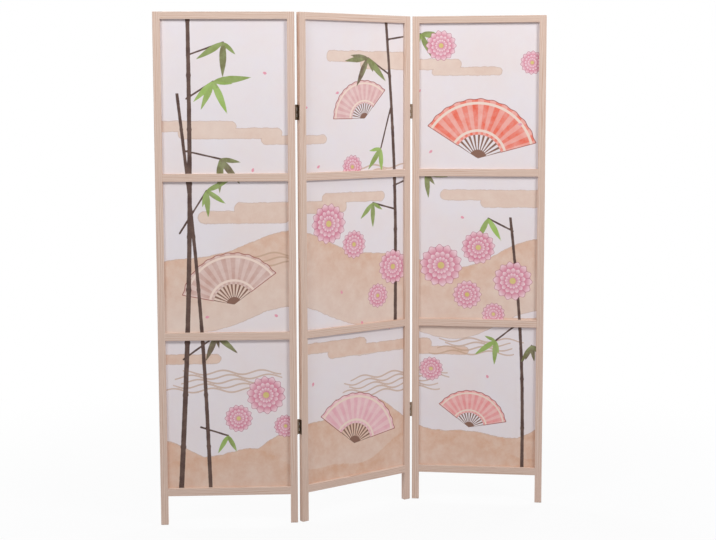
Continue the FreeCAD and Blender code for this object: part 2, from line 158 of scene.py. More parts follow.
# tone and roughness of the fibres, each from one end of the noise to the other
FIBRE_TONE, FIBRE_ROUGH = (0.9, 1.05), (0.55, 0.72)
low, high = panel_box("left_panel", "left_panel_left_stile")
print("rings across a stile:", round((high.x - low.x) / RING_WIDTH, 1))

# %% Planed pine, whitewashed


def make_pine(name, turn, grain):
    """Whitewashed pine whose grain runs up a panel or across it."""
    material, tree, surface = new_material(name)
    place = add_node(tree, "ShaderNodeTexCoord").outputs["Object"]
    turned = add_node(tree, "ShaderNodeMapping", {
        "Vector": place, "Rotation": (0, 0, -math.radians(turn))}).outputs[0]
    drawn_out = []
    for shrink in (RING_SHRINK, FIBRE_SHRINK):
        scale = [1, 1, 1]
        scale[grain] = shrink
        drawn_out.append(add_node(tree, "ShaderNodeMapping", {"Vector": turned, "Scale": scale}).outputs[0])
    slow, long = drawn_out
    bend, tint, fibre = (
        add_node(tree, "ShaderNodeTexNoise", {
            "Vector": vector, "Scale": 1 / width, "Detail": detail, "Roughness": rough}).outputs
        for vector, width, detail, rough in (
            (slow, BEND_WIDTH, 2, 0.45), (slow, TINT_WIDTH, 1, 0.5), (long, FIBRE_WIDTH, 4, 0.6)))

    pushed = add_node(tree, "ShaderNodeVectorMath", {
        0: bend["Color"], 1: (BEND_PUSH,) * 3}, operation="MULTIPLY")
    growth = add_node(tree, "ShaderNodeVectorMath", {0: slow, 1: pushed.outputs[0]}, operation="ADD")
    rings = add_node(tree, "ShaderNodeTexWave", {
        "Vector": growth.outputs[0], "Scale": math.tau / (WAVE_FACTOR * RING_WIDTH), "Distortion": 0},
        wave_type="BANDS", bands_direction="X" if grain == UP else "Z", wave_profile="SAW")
    summer = add_node(tree, "ShaderNodeMapRange", {
        "Value": rings.outputs["Fac"], "From Min": SUMMER_START, "From Max": 1},
        interpolation_type="SMOOTHSTEP").outputs[0]

    early, late = (
        add_node(tree, "ShaderNodeMix", {
            0: tint["Fac"], 6: colour(first), 7: colour(second)}, data_type="RGBA").outputs[2]
        for first, second in (EARLY_WOOD, LATE_WOOD))
    share = add_node(tree, "ShaderNodeMath", {0: summer, 1: SUMMER_SHARE}, operation="MULTIPLY")
    ringed = add_node(tree, "ShaderNodeMix", {0: share.outputs[0], 6: early, 7: late}, data_type="RGBA")
    streak = add_node(tree, "ShaderNodeMapRange", {
        "Value": fibre["Fac"], "From Min": 0.3, "From Max": 0.72,
        "To Min": FIBRE_TONE[0], "To Max": FIBRE_TONE[1]})
    wood = add_node(tree, "ShaderNodeMix", {
        0: 1, 6: ringed.outputs[2], 7: streak.outputs[0]}, data_type="RGBA", blend_type="MULTIPLY")
    tree.links.new(wood.outputs[2], surface.inputs["Base Color"])

    dull = add_node(tree, "ShaderNodeMapRange", {
        "Value": fibre["Fac"], "To Min": FIBRE_ROUGH[0], "To Max": FIBRE_ROUGH[1]})
    tree.links.new(dull.outputs[0], surface.inputs["Roughness"])
    relief = add_node(tree, "ShaderNodeMath", {
        0: summer, 1: SUMMER_RELIEF, 2: fibre["Fac"]}, operation="MULTIPLY_ADD")
    bump = add_node(tree, "ShaderNodeBump", {
        "Height": relief.outputs[0], "Distance": GRAIN_HEIGHT, "Strength": 0.5})
    tree.links.new(bump.outputs[0], surface.inputs["Normal"])
    surface.inputs["IOR"].default_value = 1.5
    surface.inputs["Specular IOR Level"].default_value = 0.35
    return material


# %% Every stick gets the wood of its panel and direction
UPRIGHTS = ("_left_stile", "_right_stile", "_left_bead", "_right_bead")
RAILS = (
    "_top_rail", "_upper_cross_rail", "_lower_cross_rail", "_bottom_rail", "_top_bead", "_bottom_bead")


def dress(node, material):
    """Gives a loaded solid one material."""
    nodes[node].data.materials.clear()
    nodes[node].data.materials.append(material)


for panel, turn in TURNS.items():
    upright = make_pine(panel + "_pine_upright", turn, UP)
    across = make_pine(panel + "_pine_across", turn, ACROSS)
    for ending in UPRIGHTS:
        dress(panel + ending, upright)
    for ending in RAILS:
        dress(panel + ending, across)
print("sticks dressed:", len(TURNS) * len(UPRIGHTS + RAILS))

# %% [markdown]
# ## The hardware
#
# The butt hinges are pressed steel with a dark antique bronze plating. Such a plating is a thin film over
# metal, so the shader stays fully metallic and only the colour is dark. It is rubbed a little lighter here
# and there, and its roughness wanders. The brads in the beads are bright drawn wire.

# %% Bronze-plated steel and bright wire
ROUGH_WANDER = 0.08


def make_metal(name, dark, light, patch, rough):
    """A metal whose colour and roughness wander in patches of one size."""
    material, tree, surface = new_material(name)
    place = add_node(tree, "ShaderNodeTexCoord").outputs["Object"]
    cloud = add_node(tree, "ShaderNodeTexNoise", {
        "Vector": place, "Scale": 1 / patch, "Detail": 4, "Roughness": 0.6}).outputs["Fac"]
    tone = add_node(tree, "ShaderNodeMapRange", {"Value": cloud, "From Min": 0.3, "From Max": 0.7})
    shade = add_node(tree, "ShaderNodeMix", {
        0: tone.outputs[0], 6: colour(dark), 7: colour(light)}, data_type="RGBA")
    tree.links.new(shade.outputs[2], surface.inputs["Base Color"])
    sheen = add_node(tree, "ShaderNodeMapRange", {
        "Value": cloud, "To Min": rough - ROUGH_WANDER, "To Max": rough + ROUGH_WANDER})
    tree.links.new(sheen.outputs[0], surface.inputs["Roughness"])
    surface.inputs["Metallic"].default_value = 1
    return material


bronze = make_metal("bronzed_pressed_steel", "#7c6957", "#9c8a78", 6 * MM, 0.36)
bright = make_metal("bright_drawn_wire", "#a9a6a1", "#c9c6c0", 1 * MM, 0.35)
for name in nodes:
    if "_hinge" in name:
        dress(name, bronze)
    elif name.endswith("_brads"):
        dress(name, bright)
print("metal pieces:", sum("_hinge" in name or name.endswith("_brads") for name in nodes))

# %% [markdown]
# The solids of the hinge screws are plain countersunk cones. A real one has a cross cut into its head, with
# walls that slope towards the middle. One such screw is made along X with its head at the origin, and a
# copy goes wherever a plain one was.

# %% One countersunk screw with a cross recess
# along the screw and its radius there, in millimetres
SCREW_RINGS = ((0, 2.75), (1.3, 1.45), (9.5, 1.45), (12, 0.3))
# the cross: an arm's length, half its width and its depth, and its size at the bottom as a share
CROSS_REACH, CROSS_HALF, CROSS_DEPTH, CROSS_TAPER = 1.5, 0.3, 1.0, 0.45


def loop(bm, points):
    """A closed loop of edges through points in millimetres."""
    corners = [bm.verts.new(Vector(point) * MM) for point in points]
    return [bm.edges.new(pair) for pair in zip(corners, corners[1:] + corners[:1])]


def round_loop(bm, along, radius, count=24):
    """A closed loop of edges round X."""
    angles = [math.tau * (step + 0.5) / count for step in range(count)]
    return loop(bm, [(along, radius * math.cos(angle), radius * math.sin(angle)) for angle in angles])


def cross_loop(bm, along, scale):
    """A closed loop of edges round the outline of an upright cross."""
    far, near = CROSS_REACH * scale, CROSS_HALF * scale
    arm = [(far, -near), (far, near), (near, near)]
    quarters = []
    for _ in range(4):
        quarters += arm
        arm = [(-up, across) for across, up in arm]
    return loop(bm, [(along, across, up) for across, up in quarters])


bm = bmesh.new()
rings = [round_loop(bm, along, radius) for along, radius in SCREW_RINGS]
for near, far in zip(rings, rings[1:]):
    bmesh.ops.bridge_loops(bm, edges=near + far)
mouth, floor_of_cross = cross_loop(bm, 0, 1), cross_loop(bm, CROSS_DEPTH, CROSS_TAPER)
bmesh.ops.bridge_loops(bm, edges=mouth + floor_of_cross)
for edges in (rings[0] + mouth, floor_of_cross, rings[-1]):
    bmesh.ops.triangle_fill(bm, edges=edges, use_beauty=True)
bmesh.ops.recalc_face_normals(bm, faces=bm.faces)
for face in bm.faces:
    face.smooth = True
screw_mesh = bpy.data.meshes.new("cross_head_screw")
bm.to_mesh(screw_mesh)
bm.free()
screw_mesh.set_sharp_from_angle(angle=math.radians(30))
print("faces of one screw:", len(screw_mesh.polygons))

# %% [markdown]
# A panel's screws are separate solids in a single mesh. The file keeps a corner once for every face that
# meets there, so a copy of the mesh is welded first. Then neighbours are followed from one to the next to
# tell the screws apart. Each screw's head is at the end that faces away from the panel's middle.

# %% A copy in the place of every plain screw
WELD = 0.001 * MM
# degrees from one screw's cross to the next one's, because nobody lines them up
CROSS_TURN = 37


def islands(mesh):
    """The corners of each separate solid in a mesh."""
    welded = bmesh.new()
    welded.from_mesh(mesh)
    bmesh.ops.remove_doubles(welded, verts=welded.verts, dist=WELD)
    welded.verts.index_update()
    seen, groups = set(), []
    for seed in welded.verts:
        if seed.index in seen:
            continue
        seen.add(seed.index)
        group = [seed]
        for corner in group:
            for edge in corner.link_edges:
                other = edge.other_vert(corner)
                if other.index not in seen:
                    seen.add(other.index)
                    group.append(other)
        groups.append([corner.co.copy() for corner in group])
    welded.free()
    return groups


for panel in TURNS:
    low, high = panel_box(panel, panel + "_printed_sheet")
    centre = (low.x + high.x) / 2
    back = to_world(panel).inverted()
    bm = bmesh.new()
    for number, group in enumerate(islands(nodes[panel + "_hinge_screws"].data)):
        points = np.array([back @ point for point in group])
        lowest, highest = points.min(0), points.max(0)
        middle = (lowest + highest) / 2
        faces_right = middle[0] < centre
        head = lowest[0] if faces_right else highest[0]
        place = Matrix.Translation((head, middle[1], middle[2]))
        facing = Matrix.Rotation(0 if faces_right else math.pi, 4, "Z")
        turn = Matrix.Rotation(math.radians(CROSS_TURN * number), 4, "X")
        start = len(bm.verts)
        bm.from_mesh(screw_mesh)
        bm.verts.ensure_lookup_table()
        matrix = to_world(panel) @ place @ facing @ turn
        bmesh.ops.transform(bm, matrix=matrix, verts=bm.verts[start:])
    mesh = bpy.data.meshes.new(panel + "_cross_head_screws")
    bm.to_mesh(mesh)
    bm.free()
    mesh.materials.append(bronze)
    screws = bpy.data.objects.new(panel + "_cross_head_screws", mesh)
    bpy.context.scene.collection.objects.link(screws)
    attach(screws, panel)
    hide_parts(panel + "_hinge_screws")
    print(screws.name, "has", number + 1, "screws")

# %% [markdown]
# ## The picture on the canvas
#
# The three sheets carry one printed picture that runs on behind the rails and from panel to panel. Ours is
# an old decorative theme that belongs to nobody: painted folding fans and chrysanthemums scattered over
# banks of mist and running water, with a few stems of bamboo.
#
# It is drawn with distances. For every point of the canvas we work out how far it is from the edge of each
# shape, in millimetres, below zero inside. The shader then colours whatever is below zero. A distance
# changes smoothly, so the drawn edge is sharp even between the points of a grid that is 3 millimetres wide.

# %% Distances to simple shapes
# millimetres: a distance that lies outside every shape
FAR = 1e3
# a shape's own values, such as its hue, are kept up to this many millimetres outside it
NEAR = 6


def beside(across, up, start, end):
    """Where points lie by a stroke: at which share of it, how far aside, and how far past its ends."""
    length = math.dist(start, end)
    east, north = (end[0] - start[0]) / length, (end[1] - start[1]) / length
    along = (across - start[0]) * east + (up - start[1]) * north
    aside = np.abs((across - start[0]) * north - (up - start[1]) * east)
    past = np.maximum(np.maximum(-along, along - length), 0)
    return np.clip(along / length, 0, 1), aside, past


def capsule(across, up, start, end, radius):
    """Distance to a straight stroke with round ends."""
    _, aside, past = beside(across, up, start, end)
    return np.hypot(aside, past) - radius


def blade(across, up, start, end, width):
    """Distance to a pointed leaf that is broadest before its middle."""
    share, aside, past = beside(across, up, start, end)
    over = aside - width * np.sin(np.pi * share ** 0.75)
    return np.hypot(np.maximum(over, 0), past) + np.minimum(over, 0)


point = (np.array([0.0]), np.array([5.0]))
print("distance from a stroke's middle:", capsule(*point, (0, 0), (0, 10), 3))

# %% [markdown]
# ### What is drawn where
#
# Places are in millimetres on the screen laid flat: across from the left edge of the left sheet, and up
# from the floor. The sheets begin 464 millimetres apart.

# %% Banks and mist
SHEET_STEP = 464
BANKS = (
    # level, swell, length, shift, depth of the colour, tone
    (905, 62, 1180, 120, 250, 0.85),
    (300, 74, 980, 420, 330, 0.95),
    (205, 44, 760, 40, 240, 1.0),
)
# height and length of the ripple on a bank, as shares of the swell's
RIPPLE_SWELL, RIPPLE_LENGTH = 0.28, 0.37
# a bank's edge slopes, so it is a little nearer than it is straight up or down
SLOPE_SHARE = 0.9
# how much of its tone a bank keeps at its foot
FOOT_TONE = 0.25
MIST = (
    # from, to, height, half thickness
    (-60, 250, 1330, 17), (60, 400, 1307, 17), (330, 560, 1285, 14),
    (560, 900, 1560, 18), (700, 1080, 1536, 18), (980, 1220, 1512, 14),
    (240, 640, 1060, 20), (120, 420, 1032, 20), (540, 800, 1087, 16),
    (1010, 1420, 1085, 18), (1150, 1480, 1061, 18),
    (-60, 190, 560, 16), (420, 720, 585, 18), (560, 980, 561, 18), (900, 1110, 537, 14),
    (1180, 1480, 640, 16),
)
# heights, and the tones of the mist there
MIST_TONES = ((500, 1500), (0.6, 0.22))


def draw_banks(across, up):
    """Distance to the sand-coloured shapes, and their tone from pale to deep."""
    distance, tone = np.full(across.shape, FAR), np.zeros(across.shape)
    for level, swell, length, shift, depth, deepest in BANKS:
        wave = np.sin(math.tau * (across - shift) / length)
        ripple = np.sin(math.tau * (across + shift) / (length * RIPPLE_LENGTH))
        below = level + swell * (wave + RIPPLE_SWELL * ripple) - up
        inside = np.maximum(-below, below - depth) * SLOPE_SHARE
        fade = np.clip(1 - below / depth, 0, 1)
        tone = np.where(inside < 0, deepest * (FOOT_TONE + (1 - FOOT_TONE) * fade), tone)
        distance = np.minimum(distance, inside)
    for left, right, height, half in MIST:
        band = capsule(across, up, (left + half, height), (right - half, height), half)
        tone = np.where(band < 0, np.interp(height, *MIST_TONES), tone)
        distance = np.minimum(distance, band)
    return distance, tone


print("banks:", len(BANKS), "bands of mist:", len(MIST))

# %% [markdown]
# A fan is a slice of a ring, folded in pleats, on a sheaf of sticks. A chrysanthemum is a round flower with
# ring upon ring of narrow petals. Pleats and petals are too fine for the grid of distances. So every point
# also keeps its place on its own fan or flower, as shares of the radius, aside of the middle and along it.
# Such a place changes evenly from point to point, and the shader works out radius, angle, pleats and petals
# from it exactly.

# %% Fans
FANS = (
    # pivot across, pivot up, radius, tilt, hue from coral 0 over pink 0.5 to brown 1
    (1138, 1212, 205, -9, 0.0),
    (236, 742, 172, 13, 1.0),
    (668, 236, 176, -15, 0.5),
    (716, 1352, 128, 24, 0.75),
    (1112, 262, 132, -14, 0.25),
)
# half the angle of an open fan, its pleats, and where its paper begins, as a share of the radius
FAN_SPREAD = math.radians(66)
FAN_PLEATS = 11
FAN_INNER = 0.4
# how far the pleats stand out of the round edge, as a share of the radius
FAN_SCALLOP = 0.008


def draw_fans(across, up):
    """Distance to the fans, their hue, and each point's place on its fan."""
    distance = np.full(across.shape, FAR)
    hue, aside, along = (np.zeros(across.shape) for _ in range(3))
    for middle, height, radius, tilt, shade in FANS:
        east, north = across - middle, up - height
        far = np.hypot(east, north)
        angle = np.arctan2(east, north) + math.radians(tilt)
        angle = (angle + np.pi) % math.tau - np.pi
        fold = np.cos(math.tau * FAN_PLEATS * (angle / FAN_SPREAD + 1) / 2)
        sides = (np.abs(angle) - FAN_SPREAD) * far
        outer = far - radius * (1 + FAN_SCALLOP * fold)
        shape = np.maximum(outer, np.where(np.abs(angle) < np.pi / 2, sides, far))
        near = shape < np.minimum(distance, NEAR)
        hue = np.where(near, shade, hue)
        aside = np.where(near, far / radius * np.sin(angle), aside)
        along = np.where(near, far / radius * np.cos(angle), along)
        distance = np.minimum(distance, shape)
    return distance, hue, aside, along


# %% Chrysanthemums
FLOWERS = (
    # across, up, radius, turn
    (1012, 838, 74, 5), (1142, 902, 58, 20), (1104, 736, 50, 40), (1262, 786, 68, 10),
    (1196, 668, 40, 60), (566, 1002, 68, 15), (670, 926, 48, 50), (836, 838, 60, 0), (770, 742, 42, 25),
    (338, 436, 64, 30), (246, 358, 46, 12), (402, 330, 38, 45),
    (978, 470, 42, 8), (664, 1190, 40, 33), (1322, 1540, 40, 21), (1010, 1600, 52, 12),
)
FLOWER_PETALS = 14
# outer and inner radius of each ring of petals, as shares of the flower's
FLOWER_RINGS = ((1.0, 0.66), (0.66, 0.4), (0.4, 0.16))
# a ring's outline swings about the first of these shares of its radius by the second
PETAL_NECK, PETAL_TIP = 0.94, 0.06


def draw_flowers(across, up):
    """Distance to the flowers, and each point's place on its flower."""
    distance = np.full(across.shape, FAR)
    aside, along = (np.zeros(across.shape) for _ in range(2))
    for middle, height, radius, turn in FLOWERS:
        east, north = across - middle, up - height
        far = np.hypot(east, north)
        angle = np.arctan2(east, north) + math.radians(turn)
        shape = far - radius * (PETAL_NECK + PETAL_TIP * np.cos(FLOWER_PETALS * angle))
        near = shape < np.minimum(distance, NEAR)
        aside = np.where(near, far / radius * np.sin(angle), aside)
        along = np.where(near, far / radius * np.cos(angle), along)
        distance = np.minimum(distance, shape)
    return distance, aside, along


print("fans:", len(FANS), "flowers:", len(FLOWERS))

# %% [markdown]
# Bamboo is a tall stem with knots at regular steps. Twigs leave it at several heights, and each ends in a
# spray of narrow leaves that hang and point outwards.

# %% Bamboo
STEMS = (
    # foot, head, radius
    ((52, 116), (96, 1684), 8.5), ((150, 116), (58, 1440), 6.5),
    ((846, 640), (806, 1684), 7), ((1300, 116), (1252, 1010), 6),
)
# a stem bows out in the middle, grows thinner upwards, and swells at every knot
STEM_BOW, STEM_TAPER = 16, 0.25
KNOT_STEP, KNOT_REACH, KNOT_SWELL = 176, 5, 0.22
TWIG_RADIUS = 2.9
SPRAYS = (
    # where the twig leaves the stem, its tip, leaf length, tone from green 0 to brown 1
    ((88, 1420), (176, 1476), 128, 0.1), ((84, 1250), (196, 1224), 116, 0.8),
    ((92, 1560), (210, 1602), 120, 0.5), ((60, 980), (150, 1120), 104, 0.3),
    ((66, 560), (176, 640), 96, 0.9), ((120, 330), (210, 300), 88, 0.2),
    ((822, 1500), (730, 1556), 112, 0.7), ((830, 1400), (784, 1250), 100, 0.1),
    ((840, 1040), (750, 1064), 96, 0.4), ((1286, 640), (1204, 574), 90, 0.2),
    ((1296, 500), (1330, 560), 84, 0.8), ((1262, 960), (1176, 1004), 92, 0.0),
    ((816, 1620), (940, 1640), 108, 0.3), ((838, 1120), (960, 1160), 92, 0.6),
)
# degrees from level in which a spray's leaves point, most of them downwards, and how far they stray
LEAF_ANGLES = (-134.4, -105.6, -78.4, -51.2, -19.2, 11.2)
LEAF_STRAY = 16
# half a leaf's width is a share of its length and a little more
LEAF_SHARE, LEAF_MORE = 0.08, 2
# leaves lie close together, so a leaf's tone is kept only this far outside it
LEAF_NEAR = 3


def draw_stems(across, up):
    """Distance to the bamboo's stems."""
    stems = np.full(across.shape, FAR)
    for (foot, foot_height), (head, head_height), radius in STEMS:
        share = (up - foot_height) / (head_height - foot_height)
        middle = foot + share * (head - foot) + STEM_BOW * np.sin(np.pi * share)
        off_knot = (up % KNOT_STEP - KNOT_STEP / 2) / KNOT_REACH
        thick = radius * (1 - STEM_TAPER * share) * (1 + KNOT_SWELL * np.exp(-off_knot ** 2))
        stem = np.where((share < 0) | (share > 1), FAR, np.abs(across - middle) - thick)
        stems = np.minimum(stems, stem)
    return stems


def draw_bamboo(across, up):
    """Distance to the dark stems and twigs, and to the leaves, with the tone of the leaves."""
    stems = draw_stems(across, up)
    leaves, tone = np.full(across.shape, FAR), np.zeros(across.shape)
    for number, (root, tip, length, shade) in enumerate(SPRAYS):
        stems = np.minimum(stems, capsule(across, up, root, tip, TWIG_RADIUS))
        side = 1 if tip[0] > root[0] else -1
        # Some sprays lack a leaf or more at either end. Sines of the two numbers stand in for chance.
        for index, turn in enumerate(LEAF_ANGLES[number % 2:len(LEAF_ANGLES) - number % 3]):
            angle = math.radians(turn + LEAF_STRAY * math.sin(2.1 * number + 3.7 * index))
            reach = length * (0.74 + 0.26 * math.sin(1.3 * number + 2.9 * index))
            end = (tip[0] + side * reach * math.cos(angle), tip[1] + reach * math.sin(angle))
            leaf = blade(across, up, tip, end, LEAF_SHARE * reach + LEAF_MORE)
            own_tone = min(1, shade + 0.15 * (index % 3))
            tone = np.where(leaf < np.minimum(leaves, LEAF_NEAR), own_tone, tone)
            leaves = np.minimum(leaves, leaf)
    return stems, leaves, tone


print("stems:", len(STEMS), "sprays of leaves:", len(SPRAYS))

# %% [markdown]
# Running water is a bundle of thin wavy lines, each thickest in its middle. Single petals drift over it.

# %% Running water and drifting petals
STREAMS = (
    # middle across, middle up, width, lines
    (180, 492, 360, 5), (800, 440, 420, 5), (1120, 560, 300, 4), (330, 900, 260, 3),
    (760, 1180, 300, 3),
)
# from one line of a stream to the next, and how far it is shifted along
LINE_STEP, LINE_SHIFT = 15, 23
# height and length of the lines' waves
WAVE_HEIGHT, WAVE_LENGTH = 7, 128
# half a line's thickness at its ends, how much it gains in the middle, and less than none beyond
LINE_HALF, LINE_GAIN, LINE_GONE = 2.2, 0.7, -3
# of every three lines, the second is this much shorter at both ends, and the third twice as much
LINE_SHORTER = 17
DRIFTING = (
    # across and up
    (470, 1390), (520, 1190), (300, 1180), (620, 760), (380, 700), (1290, 1330), (980, 1240),
    (500, 470), (700, 660), (1080, 1010), (140, 700), (930, 1440), (820, 620), (1180, 440),
    (350, 1500), (610, 1440),
)
PETAL_LENGTH, PETAL_HALF = 15, 4.6
# degrees from one drifting petal to the next
PETAL_TURN = 37


def draw_water(across, up):
    """Distance to the thin lines of running water, and to the single petals that drift over them."""
    lines, petals = np.full(across.shape, FAR), np.full(across.shape, FAR)
    for middle, height, width, count in STREAMS:
        for index in range(count):
            shift = LINE_SHIFT * index
            curve = WAVE_HEIGHT * np.sin(math.tau * (across + shift) / WAVE_LENGTH)
            curve += height + LINE_STEP * (index - count / 2)
            reach = width / 2 - LINE_SHORTER * (index % 3)
            share = 1 - ((across - middle - shift / 2) / reach) ** 2
            half = np.where(share > 0, LINE_HALF + LINE_GAIN * share, LINE_GONE)
            lines = np.minimum(lines, np.abs(up - curve) - half)
    for index, (east, north) in enumerate(DRIFTING):
        angle = math.radians(PETAL_TURN * index)
        end = (east + PETAL_LENGTH * math.cos(angle), north + PETAL_LENGTH * math.sin(angle))
        petals = np.minimum(petals, blade(across, up, (east, north), end, PETAL_HALF))
    return lines, petals


print("streams:", len(STREAMS), "drifting petals:", len(DRIFTING))

# %% [markdown]
# ## The sheets
#
# The canvas is 0.6 millimetres thick and cut to fill the rabbet behind the frame. Where the beads and rails
# press on it, it lies flat, and in the open fields it is never quite flat: it bellies back by a fraction of
# a millimetre, which the light finds. The front is a fine grid, because it carries the drawing, and the
# back one that is three times coarser.

# %% The drawing, kept on the sheet's points
STORED = (
    (draw_banks, ("bank", "bank_tone")),
    (draw_fans, ("fan", "fan_hue", "fan_aside", "fan_along")),
    (draw_flowers, ("flower", "flower_aside", "flower_along")),
    (draw_bamboo, ("stem", "leaf", "leaf_tone")),
    (draw_water, ("water", "petal")),
)


def store_drawing(mesh, across, up):
    """Works out the drawing at every point and keeps it on the mesh, in millimetres and shares."""
    for draw, names in STORED:
        for name, numbers in zip(names, draw(across, up)):
            attribute = mesh.attributes.new(name, "FLOAT", "POINT")
            attribute.data.foreach_set("value", np.clip(numbers, -FAR, FAR).astype(np.float32))


# %% How the canvas bellies
BELLY = 0.7 * MM
# the frame and the beads press the sheet this far in from its upper and lower edges and its sides
EDGE_HELD, SIDE_HELD = 8 * MM, 9 * MM
# metres: how long the swells are across, up, and in a second, shorter one
SWELL_ACROSS, SWELL_UP, SWELL_SHORT = 0.21, 0.37, 0.13

rail_edges = []
for rail in ("left_panel_lower_cross_rail", "left_panel_upper_cross_rail"):
    low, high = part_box(rail)
    rail_edges += [low[2], high[2]]
print("edges of the cross rails:", [round(edge, 4) for edge in rail_edges])


def belly(across, up, width, foot, head):
    """How far the canvas stands back: nothing where it is pressed, most in the open fields."""
    edges = [foot + EDGE_HELD, *rail_edges, head - EDGE_HELD]
    open_field = np.zeros(across.shape)
    for low, high in zip(edges[::2], edges[1::2]):
        share = np.clip((up - low) / (high - low), 0, 1)
        open_field = np.maximum(open_field, np.sin(np.pi * share) ** 0.7)
    sideways = np.clip((across - SIDE_HELD) / (width - 2 * SIDE_HELD), 0, 1)
    swell = 0.6 + 0.25 * np.sin(math.tau * (across / SWELL_ACROSS + up / SWELL_UP))
    swell += 0.15 * np.sin(math.tau * up / SWELL_SHORT)
    return BELLY * open_field * np.sin(np.pi * sideways) ** 0.5 * swell


# %% One stretched sheet
FRONT_STEP = 3 * MM
COARSER = 3


def make_sheet(panel, number):
    """A panel's canvas as a closed thin sheet, with the drawing stored at its points."""
    low, high = panel_box(panel, panel + "_printed_sheet")
    width, height = high.x - low.x, high.z - low.z
    columns = COARSER * round(width / FRONT_STEP / COARSER)
    rows = COARSER * round(height / FRONT_STEP / COARSER)
    mesh = bpy.data.meshes.new(panel + "_canvas")
    bm = bmesh.new()
    spread = Matrix.Diagonal((width, 1, height, 1))
    centre = Vector(((low.x + high.x) / 2, 0, (low.z + high.z) / 2))
    for depth, tilt, across, up in (
        (low.y, 90, columns, rows),
        (high.y, -90, columns // COARSER, rows // COARSER),
    ):
        place = Matrix.Translation(centre + Vector((0, depth, 0)))
        bmesh.ops.create_grid(
            bm, x_segments=across, y_segments=up, size=0.5,
            matrix=place @ spread @ Matrix.Rotation(math.radians(tilt), 4, "X"))
    rims = [edge for edge in bm.edges if edge.is_boundary]
    bmesh.ops.bridge_loops(bm, edges=rims)
    bmesh.ops.recalc_face_normals(bm, faces=bm.faces)
    for face in bm.faces:
        face.smooth = abs(face.normal.y) > 0.5
        face.material_index = 1 if face.normal.y > 0.5 else 0
    bm.to_mesh(mesh)
    bm.free()
    points = np.empty(len(mesh.vertices) * 3)
    mesh.vertices.foreach_get("co", points)
    points = points.reshape(-1, 3)
    store_drawing(mesh, (points[:, 0] - low.x) / MM + SHEET_STEP * number, points[:, 2] / MM)
    points[:, 1] += belly(points[:, 0] - low.x, points[:, 2], width, low.z, high.z)
    mesh.vertices.foreach_set("co", points.ravel())
    mesh.transform(to_world(panel))
    mesh.update()
    sheet = bpy.data.objects.new(panel + "_canvas", mesh)
    bpy.context.scene.collection.objects.link(sheet)
    return sheet, (width, height)


# %% [markdown]
# ## Printed canvas
#
# The cloth is a matt non-woven canvas with the picture printed on its front. The print soaks in, so it is
# nowhere glossy. The picture was painted in watercolour: the edges waver, most of all those of the large
# washes, and every colour is thinner in some places than in others. From behind the cloth is off-white,
# and the picture only just shows through. So both sides are painted alike, and the back is then mixed
# nearly all the way to the bare cloth, with every edge blurred by the cloth in between.

# %% One side of the canvas, and ways of painting on it
# millimetres: half the width of a soft edge
EDGE = 0.7
UNEVEN = (
    # noise, width of its patches, detail, roughness
    ("clouds", 180 * MM, 5, 0.6), ("blots", 34 * MM, 6, 0.65), ("weave", 1.6 * MM, 2, 0.5),
)


class Side:
    """A side's material, the drawing stored for it, and the unevenness of its washes."""

    def __init__(self, name, blur):
        self.material, self.tree, self.surface = new_material(name)
        self.blur = blur
        place = add_node(self.tree, "ShaderNodeTexCoord").outputs["Object"]
        self.stored = {
            kept: add_node(self.tree, "ShaderNodeAttribute", attribute_name=kept).outputs["Fac"]
            for _, names in STORED for kept in names}
        self.noises = {
            use: add_node(self.tree, "ShaderNodeTexNoise", {
                "Vector": place, "Scale": 1 / width, "Detail": detail, "Roughness": rough}).outputs["Fac"]
            for use, width, detail, rough in UNEVEN}
        self.patch, self.mottle = (
            add_node(self.tree, "ShaderNodeMapRange", {
                "Value": self.noises[use], "From Min": 0.35, "From Max": 0.7}).outputs[0]
            for use in ("clouds", "blots"))

    def inside(self, distance, edge=0.0, softness=EDGE):
        """A mask that is one inside an edge and nothing outside it."""
        reach = self.blur * softness
        return add_node(self.tree, "ShaderNodeMapRange", {
            "Value": distance, "From Min": edge - reach, "From Max": edge + reach,
            "To Min": 1, "To Max": 0}, interpolation_type="SMOOTHSTEP").outputs[0]

    def outline(self, distance, half, softness=EDGE):
        """A mask that is one on a line along a shape's edge."""
        away = add_node(self.tree, "ShaderNodeMath", {0: distance}, operation="ABSOLUTE")
        return self.inside(away.outputs[0], half, softness)

    def without(self, mask, hole):
        """A mask with another one cut out of it."""
        rest = add_node(self.tree, "ShaderNodeMath", {0: 1, 1: hole}, operation="SUBTRACT")
        cut = add_node(self.tree, "ShaderNodeMath", {0: mask, 1: rest.outputs[0]}, operation="MULTIPLY")
        return cut.outputs[0]

    def lay(self, under, paint, mask, strength=1):
        """Lays a paint over another one, through a mask. Paints are hex colours or nodes' outputs."""
        if strength != 1:
            mask = add_node(
                self.tree, "ShaderNodeMath", {0: mask, 1: strength}, operation="MULTIPLY").outputs[0]
        under, paint = (colour(tone) if isinstance(tone, str) else tone for tone in (under, paint))
        return add_node(
            self.tree, "ShaderNodeMix", {0: mask, 6: under, 7: paint}, data_type="RGBA").outputs[2]

    def wavering(self, name, reach):
        """A stored distance whose edge wanders in and out, to about half the reach in millimetres."""
        wander = self.noises["blots"]
        for operation, number in (("SUBTRACT", 0.5), ("MULTIPLY", reach), ("ADD", self.stored[name])):
            wander = add_node(
                self.tree, "ShaderNodeMath", {0: wander, 1: number}, operation=operation).outputs[0]
        return wander

    def polar(self, shape):
        """A point's radius and angle, from its stored place on a fan or a flower."""
        aside, along = self.stored[shape + "_aside"], self.stored[shape + "_along"]
        spot = add_node(self.tree, "ShaderNodeCombineXYZ", {"X": aside, "Y": along})
        radius = add_node(self.tree, "ShaderNodeVectorMath", {0: spot.outputs[0]}, operation="LENGTH")
        angle = add_node(self.tree, "ShaderNodeMath", {0: aside, 1: along}, operation="ARCTAN2")
        return radius.outputs["Value"], angle.outputs[0]


